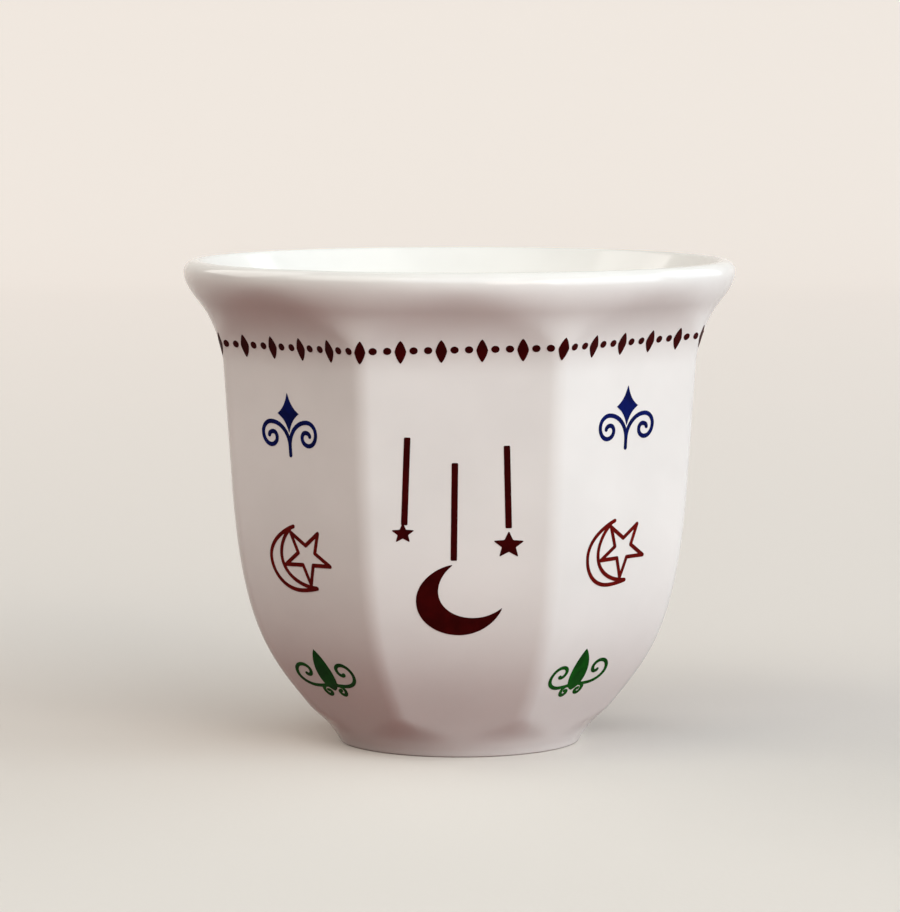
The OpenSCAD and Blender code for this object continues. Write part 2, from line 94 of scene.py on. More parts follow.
def arc(middle: Pair, r: float, start: float, end: float, steps: int) -> Points:
    """Draw a round stretch about a middle, between two angles in radians."""
    t = np.linspace(start, end, steps + 1)
    return np.asarray(middle) + r * np.stack([np.cos(t), np.sin(t)], 1)


def joined(*stretches: Points) -> Points:
    """Join stretches that each start where the one before ends."""
    return np.concatenate([stretches[0]] + [s[1:] for s in stretches[1:]])


def chain(points: Sequence[Sequence[float]], steps: int) -> Points:
    """Draw a line through every third point, drawn towards the two between."""
    return joined(*(bezier(points[i:i + 4], steps) for i in range(0, len(points) - 3, 3)))


def unit(along: Points) -> Points:
    """Shorten or lengthen each direction to a length of one."""
    return along / np.linalg.norm(along, axis=-1, keepdims=True)


def crosswise(along: Points) -> Points:
    """Turn each flat direction a quarter to the left."""
    return along[..., ::-1] * [-1, 1]


def strip(ends: Sequence[Points], asides: Sequence[Points]) -> Points:
    """Draw a strip between two ends, each with the way to its left edge."""
    (a, b), (left_a, left_b) = ends, asides
    return np.array([a - left_a, b - left_b, b + left_b, a + left_a])


def leaning(angle: float) -> Points:
    """Give the direction that leans out by an angle in degrees from upright."""
    return np.array([math.sin(math.radians(angle)), math.cos(math.radians(angle))])


class Side(Enum):
    """The eight sides, each by its angle round the axis from the front to the right."""

    FRONT = 0
    FRONT_RIGHT = 45
    RIGHT = 90
    BACK_RIGHT = 135
    BACK = 180
    BACK_LEFT = 225
    LEFT = 270
    FRONT_LEFT = 315

    @property
    def label(self) -> str:
        """The side's name as the nodes have it."""
        return self.name.lower()

    def turn(self, points: Points) -> Points:
        """Turn points that were laid out on the front to this side.

        Args:
            points: Points of the front side, one row each.

        Returns:
            The same points on this side.
        """
        s, c = leaning(self.value)
        return points @ np.array([[c, s, 0.0], [-s, c, 0.0], [0.0, 0.0, 1.0]])


STRAIGHT_SIDES = (Side.FRONT, Side.RIGHT, Side.BACK, Side.LEFT)
CORNER_SIDES = (Side.FRONT_RIGHT, Side.BACK_RIGHT, Side.BACK_LEFT, Side.FRONT_LEFT)
HALF_ANGLE = math.pi / len(Side)


def linked(name: str, data: bpy.types.ID) -> bpy.types.Object:
    """Make an object and link it to the scene.

    Args:
        name: Name of the object.
        data: Its mesh, lamp or camera.

    Returns:
        The object.
    """
    piece = bpy.data.objects.new(name, data)
    bpy.context.scene.collection.objects.link(piece)
    return piece


def new_mesh(name: str, points: Points, faces: Iterable[Sequence[int]]) -> bpy.types.Object:
    """Make a smooth-shaded object from points in millimetres.

    Args:
        name: Name of the object.
        points: Its points, in millimetres in the cup's own frame.
        faces: Its faces, as rows of point numbers.

    Returns:
        The object, linked to the scene.
    """
    mesh = bpy.data.meshes.new(name)
    mesh.from_pydata((np.asarray(points) * MM).tolist(), [], [list(f) for f in faces])
    mesh.validate()
    mesh.shade_smooth()
    return linked(name, mesh)


@dataclass(frozen=True)
class CupSizes:
    """The cup's sizes in millimetres and degrees, as its solids have them."""

    height: float = 56.3
    lip_d: float = 64.1
    waist_af: float = 54.0
    belly_af: float = 52.2
    belly_h: float = 31.0
    waist_drop: float = 11.5
    arris_r: float = 3.0
    belly_low_pull: float = 10.0
    belly_high_pull: float = 19.6
    lip_reach: float = 1.8
    flare_drop: float = 4.4
    flare_lean: float = 44.0
    flare_low_pull: float = 4.0
    flare_high_pull: float = 1.3
    rim_r: float = 1.3
    lip_pull: float = 1.1
    fade_h: float = 8.0
    wall_t: float = 2.6
    rim_in_r: float = 1.2
    rim_start_angle: float = 15.0
    crest_land: float = 0.2
    flare_t: float = 2.9
    mouth_lean: float = 41.5
    mouth_pull: float = 5.2
    floor_h: float = 4.8
    floor_d: float = 12.0
    inner_belly_share: float = 0.62
    inner_floor_share: float = 0.62
    foot_d: float = 28.0
    foot_lean: float = 28.0
    heel_d: float = 30.0
    heel_h: float = 1.6
    heel_lean: float = 34.5
    foot_edge: float = 0.3
    hollow_d: float = 22.2
    hollow_h: float = 1.5
    hollow_dome: float = 0.5
    hollow_round: float = 0.8
    foot_fade_h: float = 3.5
    foot_pull_share: float = 0.45
    heel_pull_share: float = 0.45
    round_share: float = 0.985


class CupWall:
    """The outside of the cup: its line at the middle of a side, and its soft edges."""

    FOOT_EDGE_STEPS = 5
    HEEL_STEPS = 8
    BELLY_STEPS = 56
    WALL_STEPS = 16
    FLARE_STEPS = 30
    LIP_STEPS = 16
    RIM_STEPS = 10
    SLOPE_SPAN_MM = 0.5

    def __init__(self, sizes: CupSizes) -> None:
        """Place the wall's turning points and draw its line.

        Args:
            sizes: The cup's sizes.
        """
        self.sizes = sizes
        self.belly = np.array([sizes.belly_af / 2, sizes.belly_h])
        self.waist = np.array([sizes.waist_af / 2, sizes.height - sizes.waist_drop])
        self.flare = np.array([sizes.lip_d / 2 - sizes.lip_reach,
                               sizes.height - sizes.flare_drop])
        self.up_wall = unit(self.waist - self.belly)
        self.line = self.outside_line()
        steps = np.linalg.norm(np.diff(self.line, axis=0), axis=1)
        self.lengths = np.concatenate([[0.0], np.cumsum(steps)])
        self.wall_l = self.length_at(self.waist[1])
        self.side_w = sizes.waist_af * math.tan(HALF_ANGLE)

    def outside_line(self) -> Points:
        """Draw the outside from the edge of the foot to the crest of the rim.

        Returns:
            Rows of [distance from the axis, height].
        """
        s, up_wall = self.sizes, self.up_wall
        belly, waist, flare = self.belly, self.waist, self.flare
        lip_r = s.lip_d / 2
        lip = np.array([lip_r, s.height - s.rim_r])
        heel = np.array([s.heel_d / 2, s.heel_h])
        heel_dir, flare_dir = leaning(s.heel_lean), leaning(s.flare_lean)
        lean = math.radians(s.foot_lean)
        edge_in = s.foot_edge * (math.cos(lean) - (1 - math.sin(lean)) * math.tan(lean))
        edge = arc((s.foot_d / 2 - edge_in, s.foot_edge), s.foot_edge, -math.pi / 2,
                   math.radians(90 - s.foot_lean) - math.pi / 2, self.FOOT_EDGE_STEPS)
        foot = edge[-1]
        return joined(
            edge,
            bezier((foot, foot + leaning(s.foot_lean) * s.heel_h * s.foot_pull_share,
                    heel - heel_dir * s.heel_h * s.heel_pull_share, heel), self.HEEL_STEPS),
            bezier((heel, heel + heel_dir * s.belly_low_pull,
                    belly - up_wall * s.belly_high_pull, belly), self.BELLY_STEPS),
            bezier((belly, belly + up_wall, waist - up_wall, waist), self.WALL_STEPS),
            bezier((waist, waist + up_wall * s.flare_low_pull,
                    flare - flare_dir * s.flare_high_pull, flare), self.FLARE_STEPS),
            bezier((flare, flare + flare_dir * s.lip_pull, lip - [0, s.lip_pull], lip),
                   self.LIP_STEPS),
            arc((lip_r - s.rim_r, s.height - s.rim_r), s.rim_r, 0, math.pi / 2, self.RIM_STEPS))

    def at(self, up: Points) -> Points:
        """Give [distance from the axis, height] at each length up the wall."""
        return np.stack([np.interp(up, self.lengths, values) for values in self.line.T], -1)

    def length_at(self, level: Points) -> Points:
        """Give the length up the wall at a height above the bearing ring."""
        return np.interp(level, self.line[:, 1], self.lengths)

    def edge_r(self, reach: Points, level: Points) -> Points:
        """Give the radius of the soft edges between sides.

        Args:
            reach: Distance of the sides from the axis.
            level: Height above the bearing ring.

        Returns:
            The radius there: small on the wall, and full round at the lip and the foot.
        """
        s = self.sizes
        full = reach * s.round_share
        up = ease((level - (s.height - s.rim_r - s.fade_h)) / s.fade_h)
        down = ease((s.heel_h + s.foot_fade_h - level) / s.foot_fade_h)
        wall = s.arris_r + (full - s.arris_r) * up
        return wall + (full - wall) * down

    def ring(self, reach: float, level: float, angles: Points) -> Points:
        """Draw one level ring of the outside.

        Args:
            reach: Distance of the sides from the axis.
            level: Height above the bearing ring.
            angles: Where its points lie, in radians round the axis from a side's middle.

        Returns:
            The ring's points, from the left end of the front side round to the right.
        """
        r = float(self.edge_r(np.array(reach), np.array(level)))
        half = (reach - r) * math.tan(HALF_ANGLE)
        hand, angle = np.sign(angles), np.abs(angles)
        along = np.stack([np.sin(angle), -np.cos(angle)], 1)
        middle = np.array([half, r - reach])
        nearest = along @ middle
        on_edge = nearest + np.sqrt(np.maximum(nearest ** 2 - middle @ middle + r * r, 0))
        on_flat = reach / np.cos(angle)
        away = np.where(reach * np.tan(angle) <= half, on_flat, on_edge)
        side = np.column_stack([hand * along[:, 0] * away, along[:, 1] * away,
                                np.full(len(angle), level)])
        return np.concatenate([s.turn(side) for s in Side])

    def laid(self, flat: Points, out: float) -> Points:
        """Lay points of the front side on the wall.

        Args:
            flat: Rows of [across from the side's middle, up along the wall].
            out: Distance outside the wall.

        Returns:
            The points on the wall of the front side.
        """
        across, up = flat[:, 0], flat[:, 1]
        reach, level = self.at(up).T
        climb = unit(self.at(up + self.SLOPE_SPAN_MM) - self.at(up - self.SLOPE_SPAN_MM))
        r = self.edge_r(reach, level)
        half = (reach - r) * math.tan(HALF_ANGLE)
        turn = np.maximum(np.abs(across) - half, 0) / r
        hand = np.where(across < 0, -1.0, 1.0)
        past = turn > 0
        x = np.where(past, hand * (half + r * np.sin(turn)), across)
        y = np.where(past, r - reach - r * np.cos(turn), -reach)
        face = np.stack([hand * np.sin(turn), -np.cos(turn)], 1)
        return np.column_stack([
            x + out * climb[:, 1] * face[:, 0],
            y + out * climb[:, 1] * face[:, 1],
            level - out * climb[:, 0],
        ])


Links = dict[str | int, object]
Socket = bpy.types.NodeSocket


def add_node(tree: bpy.types.NodeTree, kind: str, settings: Links | None = None,
             links: Links | None = None) -> bpy.types.Node:
    """Add a shader node with its settings and links.

    Args:
        tree: The material's node tree.
        kind: The node's type name.
        settings: Values by the name of a property or an input socket.
        links: Output sockets by the name or number of the input that they go to.

    Returns:
        The new node.
    """
    node = tree.nodes.new(kind)
    for name, value in (settings or {}).items():
        if name in node.inputs:
            node.inputs[name].default_value = value
        else:
            setattr(node, name, value)
    for name, source in (links or {}).items():
        tree.links.new(source, node.inputs[name])
    return node


class MaterialMaker:
    """A material in the making, with the nodes that the cup's finishes share."""

    def __init__(self, name: str) -> None:
        """Start with an empty node tree, but for the places on the object.

        Args:
            name: Name of the material.
        """
        self.material = bpy.data.materials.new(name)
        self.material.use_nodes = True
        self.tree = self.material.node_tree
        self.tree.nodes.clear()
        self.place = add_node(self.tree, "ShaderNodeTexCoord").outputs["Object"]

    def noise(self, size_mm: float, detail: float, roughness: float = 0.5) -> Socket:
        """Add a noise.

        Args:
            size_mm: Size of its clouds.
            detail: Number of finer noises in it.
            roughness: Strength of each of those, as a share of the one before.

        Returns:
            The output that gives its share from zero to one.
        """
        settings = {"Scale": 1 / (size_mm * MM), "Detail": detail, "Roughness": roughness}
        node = add_node(self.tree, "ShaderNodeTexNoise", settings, {"Vector": self.place})
        return node.outputs["Fac"]

    def relief(self, share: Socket, height_mm: float, under: Links | None = None) -> Socket:
        """Raise the surface by a share of a height.

        Args:
            share: The output that gives the share.
            height_mm: The height.
            under: The relief that it lies on, by the name of its input.

        Returns:
            The output that gives the surface's direction.
        """
        settings = {"Strength": 1.0, "Distance": height_mm * MM}
        links = {"Height": share, **(under or {})}
        return add_node(self.tree, "ShaderNodeBump", settings, links).outputs["Normal"]

    def blend(self, share: Socket, colours: tuple[str, str],
              span: Pair = (0.0, 1.0)) -> Socket:
        """Turn a share into a colour.

        Args:
            share: The output that gives the share.
            colours: The hex colours below and above the span.
            span: The shares where the first colour starts to give way and where it is gone.

        Returns:
            The output that gives the colour.
        """
        node = add_node(self.tree, "ShaderNodeValToRGB", links={"Fac": share})
        for element, place, colour in zip(node.color_ramp.elements, span, colours):
            element.position = place
            element.color = linear(colour)
        return node.outputs["Color"]

    def done(self, settings: Links, links: Links) -> bpy.types.Material:
        """Add the shader.

        Args:
            settings: Its values by the names of their inputs.
            links: Outputs by the names of its inputs that they go to.

        Returns:
            The material.
        """
        shader = add_node(self.tree, "ShaderNodeBsdfPrincipled", settings, links)
        add_node(self.tree, "ShaderNodeOutputMaterial",
                 links={"Surface": shader.outputs["BSDF"]})
        return self.material


@dataclass(frozen=True)
class GlazedPorcelain:
    """Hard porcelain, slip-cast in a mould and fired under a clear glossy glaze.

    To the eye it is a faintly warm white with a wet shine. The glaze lies thicker and a little
    greyer in broad soft clouds, thinner and whiter between them, and has a slow ripple of a
    few millimetres and a fine grain that break up what it mirrors.
    """

    thick_glaze: str = "#e9e6e0"
    thin_glaze: str = "#f2efe9"
    cloud_mm: float = 14.0
    cloud_detail: float = 3.0
    cloud_span: Pair = (0.3, 0.7)
    ripple_mm: float = 5.0
    ripple_detail: float = 1.0
    ripple_height_mm: float = 0.012
    grain_mm: float = 0.7
    grain_detail: float = 2.0
    grain_height_mm: float = 0.0008
    ior: float = 1.5
    roughness: float = 0.09

    def build(self) -> bpy.types.Material:
        """Build the material.

        Returns:
            The material.
        """
        maker = MaterialMaker("glazed_porcelain")
        cloud = maker.noise(self.cloud_mm, self.cloud_detail)
        ripple = maker.noise(self.ripple_mm, self.ripple_detail)
        grain = maker.noise(self.grain_mm, self.grain_detail)
        slow = maker.relief(ripple, self.ripple_height_mm)
        fine = maker.relief(grain, self.grain_height_mm, {"Normal": slow})
        colour = maker.blend(cloud, (self.thick_glaze, self.thin_glaze), self.cloud_span)
        return maker.done({"IOR": self.ior, "Roughness": self.roughness},
                          {"Base Color": colour, "Normal": fine})


@dataclass(frozen=True)
class BareBiscuit:
    """Porcelain without glaze, wiped clean before the firing and rubbed smooth after it.

    It is the narrow ring that the cup stands on: a dull, slightly creamier white with a fine
    grit that never mirrors anything.
    """

    clean: str = "#e6e0d6"
    rubbed: str = "#cfc6b8"
    grit_mm: float = 0.25
    grit_detail: float = 4.0
    grit_roughness: float = 0.7
    grit_span: Pair = (0.35, 0.6)
    grit_height_mm: float = 0.02
    ior: float = 1.5
    roughness: float = 0.75

    def build(self) -> bpy.types.Material:
        """Build the material.

        Returns:
            The material.
        """
        maker = MaterialMaker("bare_porcelain_biscuit")
        grit = maker.noise(self.grit_mm, self.grit_detail, self.grit_roughness)
        colour = maker.blend(grit, (self.rubbed, self.clean), self.grit_span)
        return maker.done({"IOR": self.ior, "Roughness": self.roughness},
                          {"Base Color": colour,
                           "Normal": maker.relief(grit, self.grit_height_mm)})


@dataclass(frozen=True)
class OnglazeEnamel:
    """Ceramic enamel ink, screen-printed on a transfer and melted on to the glaze.

    It is dense and dark, far less smooth than the glaze beside it, so that it hardly mirrors
    anything, and thin enough in places that the white under it lifts the colour.
    """

    name: str
    dense: str
    thin: str
    patch_mm: float = 1.6
    patch_detail: float = 2.0
    patch_span: Pair = (0.4, 0.75)
    screen_mm: float = 0.22
    screen_detail: float = 1.0
    screen_height_mm: float = 0.0015
    ior: float = 1.5
    mirror_level: float = 0.03
    roughness: float = 0.4

    def build(self) -> bpy.types.Material:
        """Build the material.

        Returns:
            The material.
        """
        maker = MaterialMaker(self.name)
        patch = maker.noise(self.patch_mm, self.patch_detail)
        screen = maker.noise(self.screen_mm, self.screen_detail)
        colour = maker.blend(patch, (self.dense, self.thin), self.patch_span)
        return maker.done({"IOR": self.ior, "Roughness": self.roughness,
                           "Specular IOR Level": self.mirror_level},
                          {"Base Color": colour,
                           "Normal": maker.relief(screen, self.screen_height_mm)})


@dataclass
class CupBody:
    """The fired body: outside, rim, inside, foot and the hollow under it, in one skin."""

    wall: CupWall
    glaze: bpy.types.Material
    biscuit: bpy.types.Material
    flat_end_angle: float = 17.0
    flat_steps: int = 12
    edge_steps: int = 9
    rim_steps: int = 12
    mouth_steps: int = 32
    straight_steps: int = 10
    bowl_steps: int = 56
    floor_steps: int = 5
    bearing_steps: int = 4
    corner_steps: int = 8
    roof_steps: int = 11
    middle_r_mm: float = 0.4
    glaze_edge_mm: float = 0.18
    bearing_rise_mm: float = 0.05

    def side_angles(self) -> Points:
        """Spread the points of a ring over one side, closer together at its soft edges.

        Returns:
            Their angles from the side's middle, in radians.
        """
        middle, end = math.radians(self.flat_end_angle), HALF_ANGLE
        return np.concatenate([
            np.linspace(-end, -middle, self.edge_steps + 1)[:-1],
            np.linspace(-middle, middle, self.flat_steps + 1)[:-1],
            np.linspace(middle, end, self.edge_steps + 1)[:-1],
        ])

    def inside_line(self) -> Points:
        """Draw the inside from the crest of the rim to the middle of the floor.

        Returns:
            Rows of [distance from the axis, height].
        """
        s, w = self.wall.sizes, self.wall
        top = s.lip_d / 2 - s.rim_r - s.crest_land
        start = math.radians(s.rim_start_angle)
        end = math.radians(90 - s.mouth_lean)
        t = np.linspace(start, end, self.rim_steps + 1)
        rim = np.stack([top - s.rim_in_r * (np.sin(t) - math.sin(start)),
                        s.height - s.rim_in_r * (math.cos(start) - np.cos(t))], 1)
        crest = np.array([[top + s.crest_land / 2, s.height]])
        out, up = leaning(s.flare_lean)
        flare = w.flare + s.flare_t * np.array([-up, out])
        waist, belly = w.waist - [s.wall_t, 0], w.belly - [s.wall_t, 0]
        floor = np.array([s.floor_d / 2, s.floor_h])
        mouth = bezier((flare, flare - leaning(s.mouth_lean) * s.mouth_pull,
                        waist + w.up_wall * s.mouth_pull, waist), self.mouth_steps)
        straight = bezier((waist, waist - w.up_wall, belly + w.up_wall, belly),
                          self.straight_steps)
        bowl = bezier((belly, belly - w.up_wall * (belly[1] - s.floor_h) * s.inner_belly_share,
                       floor + [(belly[0] - floor[0]) * s.inner_floor_share, 0], floor),
                      self.bowl_steps)
        level_r = np.linspace(floor[0], self.middle_r_mm, self.floor_steps + 1)
        level_floor = np.stack([level_r, np.full(len(level_r), s.floor_h)], 1)
        return np.concatenate([crest, rim, joined(mouth, straight, bowl, level_floor)])

    def underside_line(self) -> Points:
        """Draw the bearing ring and the hollow, from the foot's edge to the middle.

        Returns:
            Rows of [distance from the axis, height].
        """
        s = self.wall.sizes
        hollow_r = s.hollow_d / 2
        ring_in = hollow_r + self.glaze_edge_mm
        land_r = np.linspace(self.wall.line[0][0], ring_in, self.bearing_steps + 1)
        land = np.stack([land_r, np.zeros(len(land_r))], 1)
        t = np.linspace(0, math.pi / 2, self.corner_steps + 1)
        roll = np.stack([ring_in - self.glaze_edge_mm * np.sin(t),
                         self.glaze_edge_mm * (1 - np.cos(t))], 1)
        corner = arc((hollow_r - s.hollow_round, s.hollow_h - s.hollow_round), s.hollow_round,
                     0, math.pi / 2, self.corner_steps)
        end = corner[-1]
        share = np.linspace(0, 1, self.roof_steps + 1)
        roof = np.stack([end[0] * (1 - share) + self.middle_r_mm * share,
                         end[1] + s.hollow_dome * np.sin(share * math.pi / 2)], 1)
        return np.concatenate([joined(land, roll), joined(corner, roof)])[1:]

    def rings(self) -> list[Points]:
        """Draw the rings of points that the skin runs through.

        Returns:
            The rings, from the middle of the hollow round the outside to that of the floor.
        """
        angles = self.side_angles()
        outside = [self.wall.ring(r, z, angles) for r, z in self.wall.line]
        turn = np.arctan2(outside[0][:, 1], outside[0][:, 0])
        directions = np.stack([np.cos(turn), np.sin(turn)], 1)

        def round_ring(r: float, z: float) -> Points:
            """Draw one round ring with a point for each point of the outside's rings."""
            return np.column_stack([r * directions, np.full(len(directions), z)])

        under = [round_ring(r, z) for r, z in self.underside_line()]
        return under[::-1] + outside + [round_ring(r, z) for r, z in self.inside_line()]

    def build(self) -> bpy.types.Object:
        """Build the body's mesh and dress it.

        Returns:
            The body, glazed all over but for the ring that it stands on.
        """
        rings = self.rings()
        middles = [[0.0, 0.0, ring[0, 2]] for ring in (rings[0], rings[-1])]
        points = np.concatenate([*rings, middles])
        count = len(rings[0])
        last = (len(rings) - 1) * count
        pairs = [(i, (i + 1) % count) for i in range(count)]
        faces = [[a + i, a + j, a + count + j, a + count + i]
                 for a in range(0, last, count) for i, j in pairs]
        for i, j in pairs:
            faces += [[len(points) - 2, j, i], [len(points) - 1, last + i, last + j]]
        body = new_mesh("porcelain_body", points, faces)
        for material in (self.glaze, self.biscuit):
            body.data.materials.append(material)
        self.wipe_ring(body)
        return body

    def wipe_ring(self, body: bpy.types.Object) -> None:
        """Leave the ring that the cup stands on without glaze.

        Args:
            body: The body, glazed all over.
        """
        inner_r = self.wall.sizes.hollow_d / 2 + self.glaze_edge_mm
        outer_r = self.wall.line[1][0]
        for face in body.data.polygons:
            r = math.hypot(face.center.x, face.center.y) / MM
            if face.center.z < self.bearing_rise_mm * MM and inner_r < r < outer_r:
                face.material_index = 1


def counter_clockwise(outline: Points) -> Points:
    """Turn an outline round where it runs clockwise."""
    x, y = outline.T
    return outline if np.dot(x, np.roll(y, -1)) > np.dot(y, np.roll(x, -1)) else outline[::-1]


class FlatShape:
    """A print drawn flat, as simple outlines that may overlap, in [across, up]."""

    MERGE_MM = 1e-6

    def __init__(self) -> None:
        """Start with no outlines."""
        self.outlines: list[Points] = []

    def fill(self, points: Points, spread: float = 0.0, longest: float = 0.4) -> None:
        """Add one filled outline, with points along its long edges to follow the wall.

        Args:
            points: The outline's points.
            spread: How far the ink spreads past them.
            longest: Longest distance between two points after that.
        """
        points = np.asarray(points, float)
        stretches = []
        for a, b in zip(points, np.roll(points, -1, 0)):
            steps = max(1, math.ceil(np.linalg.norm(b - a) / longest))
            stretches.append(a + (b - a) * np.arange(steps)[:, None] / steps)
        points = counter_clockwise(np.concatenate(stretches))
        along = np.roll(points, -1, 0) - np.roll(points, 1, 0)
        self.outlines.append(points - unit(crosswise(along)) * spread)

    def line(self, points: Points, width: float) -> None:
        """Add a line of even width with round ends, as a row of short strips.

        Where a curl is so tight that a strip folds over, a straight one takes its place.

        Args:
            points: The points along its middle.
            width: Its width.
        """
        points = np.asarray(points, float)
        asides = crosswise(unit(np.gradient(points, axis=0))) * width / 2
        for i in range(len(points) - 1):
            ends = points[i:i + 2]
            outline = strip(ends, asides[i:i + 2])
            edges = np.roll(outline, -1, 0) - outline
            after = np.roll(edges, -1, 0)
            turns = edges[:, 0] * after[:, 1] - edges[:, 1] * after[:, 0]
            if (turns > 0).all():
                self.outlines.append(outline)
                continue
            aside = crosswise(unit(ends[1] - ends[0])) * width / 2
            self.outlines.append(strip(ends, (aside, aside)))
            for end in ends:
                self.dot(end, width / 2)
        for end in (points[0], points[-1]):
            self.dot(end, width / 2)

    def dot(self, middle: Sequence[float], r: float, steps: int = 14) -> None:
        """Add a round dot."""
        t = np.arange(steps) * 2 * math.pi / steps
        self.outlines.append(np.asarray(middle) + r * np.stack([np.cos(t), np.sin(t)], 1))

    def moved(self, place: Sequence[float], angle: float = 0.0) -> None:
        """Turn all outlines, then move them to a place.

        Args:
            place: Where their origin goes, as [across, up].
            angle: How far they are turned, in degrees.
        """
        s, c = leaning(angle)
        turn = np.array([[c, s], [-s, c]])
        self.outlines = [o @ turn + np.asarray(place) for o in self.outlines]

    def sheet(self, spacing: float) -> tuple[Points, list[tuple[int, ...]]]:
        """Join the outlines into one flat sheet of small triangles.

        Args:
            spacing: Distance between the points that are spread inside it.

        Returns:
            Its points and its triangles, each triangle counter-clockwise.
        """
        points: list[Vector] = []
        faces: list[list[int]] = []
        for outline in self.outlines:
            faces.append(list(range(len(points), len(points) + len(outline))))
            points.extend(Vector(p) for p in counter_clockwise(outline))
        everything = np.concatenate(self.outlines)
        low, high = everything.min(0), everything.max(0)
        for i, x in enumerate(np.arange(low[0], high[0] + spacing, spacing)):
            shift = spacing / 2 * (i % 2)
            for y in np.arange(low[1] + shift, high[1] + spacing, spacing):
                points.append(Vector((x, y)))
        flat, _, triangles, _, _, sources = delaunay_2d_cdt(points, [], faces, 0, self.MERGE_MM)
        kept = [tuple(t) for t, source in zip(triangles, sources) if source]
        used = sorted({i for t in kept for i in t})
        renumbered = {old: new for new, old in enumerate(used)}
        return (np.array([flat[i] for i in used]),
                [tuple(renumbered[i] for i in t) for t in kept])


@dataclass
class Transfer:
    """One fired transfer: a flat shape that is laid on the wall and stands a hair proud."""

    kind: ClassVar[str] = "transfer"
    wall: CupWall
    side: Side
    material: bpy.types.Material
    proud_mm: float = 0.035
    sunk_mm: float = 0.01
    spacing_mm: float = 0.4
    soft_mm: float = 0.04
    sharp_angle: float = 40.0
    curve_steps: int = 14

    def shapes(self) -> list[FlatShape]:
        """Draw the flat shapes, which don't overlap each other."""
        raise NotImplementedError

    def build(self) -> bpy.types.Object:
        """Lay the shapes on the wall as closed thin pieces of one object.

        Returns:
            The object, dressed in the transfer's ink.
        """
        all_points: list[Points] = []
        all_faces: list[tuple[int, ...]] = []
        base = 0
        for shape in self.shapes():
            flat, triangles = shape.sheet(self.spacing_mm)
            n = len(flat)
            all_points += [self.side.turn(self.wall.laid(flat, self.proud_mm)),
                           self.side.turn(self.wall.laid(flat, -self.sunk_mm))]
            for t in triangles:
                all_faces += [tuple(base + i for i in t), tuple(base + n + i for i in reversed(t))]
            edges = dict.fromkeys(edge for t in triangles for edge in zip(t, t[1:] + t[:1]))
            all_faces += [(base + b, base + a, base + n + a, base + n + b)
                          for a, b in edges if (b, a) not in edges]
            base += 2 * n
        name = f"enamel_{self.kind}_{self.side.label}"
        piece = new_mesh(name, np.concatenate(all_points), all_faces)
        piece.data.set_sharp_from_angle(angle=math.radians(self.sharp_angle))
        piece.data.materials.append(self.material)
        return piece


def softened(points: Points, r: float, steps: int = 4) -> Points:
    """Round every corner of a closed outline.

    Args:
        points: The outline's corners.
        r: How far from a corner the rounding starts.
        steps: Steps in each rounding.

    Returns:
        The rounded outline.
    """
    t = np.linspace(0, 1, steps + 1)[:, None]
    rounded = []
    for before, corner, after in zip(np.roll(points, 1, 0), points, np.roll(points, -1, 0)):
        ends = []
        for end in (before, after):
            gap = np.linalg.norm(end - corner)
            ends.append(corner + (end - corner) / gap * min(r, gap / 2))
        rounded.append((1 - t) ** 2 * ends[0] + 2 * t * (1 - t) * corner + t * t * ends[1])
    return np.concatenate(rounded)


def scroll(turns: Points, upright_first: bool, steps: int = 10) -> Points:
    """Draw a scroll through its turning points, where it is upright and level by turns.

    Args:
        turns: The turning points, from the outer end to the inner one.
        upright_first: Whether it starts upright.
        steps: Steps between two turning points.

    Returns:
        The points along it.
    """
    t = np.linspace(0, math.pi / 2, steps + 1)[1:, None]
    line = [turns[:1]]
    upright = upright_first
    for a, b in zip(turns, turns[1:]):
        late, early = b + (a - b) * np.cos(t), a + (b - a) * np.sin(t)
        line.append(np.where([upright, not upright], late, early))
        upright = not upright
    return np.concatenate(line)


def star(r: float, inner_share: float, top: float, height_share: float = 0.9,
         tips: int = 5) -> Points:
    """Draw a star.

    Args:
        r: Radius of its tips.
        inner_share: Radius of its inner corners, as a share of that.
        top: Angle of its first tip, in degrees.
        height_share: Its height as a share of a regular star's.
        tips: Number of its tips.

    Returns:
        Its corners, a tip and an inner corner by turns.
    """
    number = np.arange(2 * tips)
    t = math.radians(top) + number * math.pi / tips
    reach = np.where(number % 2 == 0, r, r * inner_share)
    return np.stack([reach * np.cos(t), reach * np.sin(t) * height_share], 1)


def mirrored(points: Points) -> Points:
    """Mirror points from right to left."""
    return np.asarray(points) * [-1, 1]


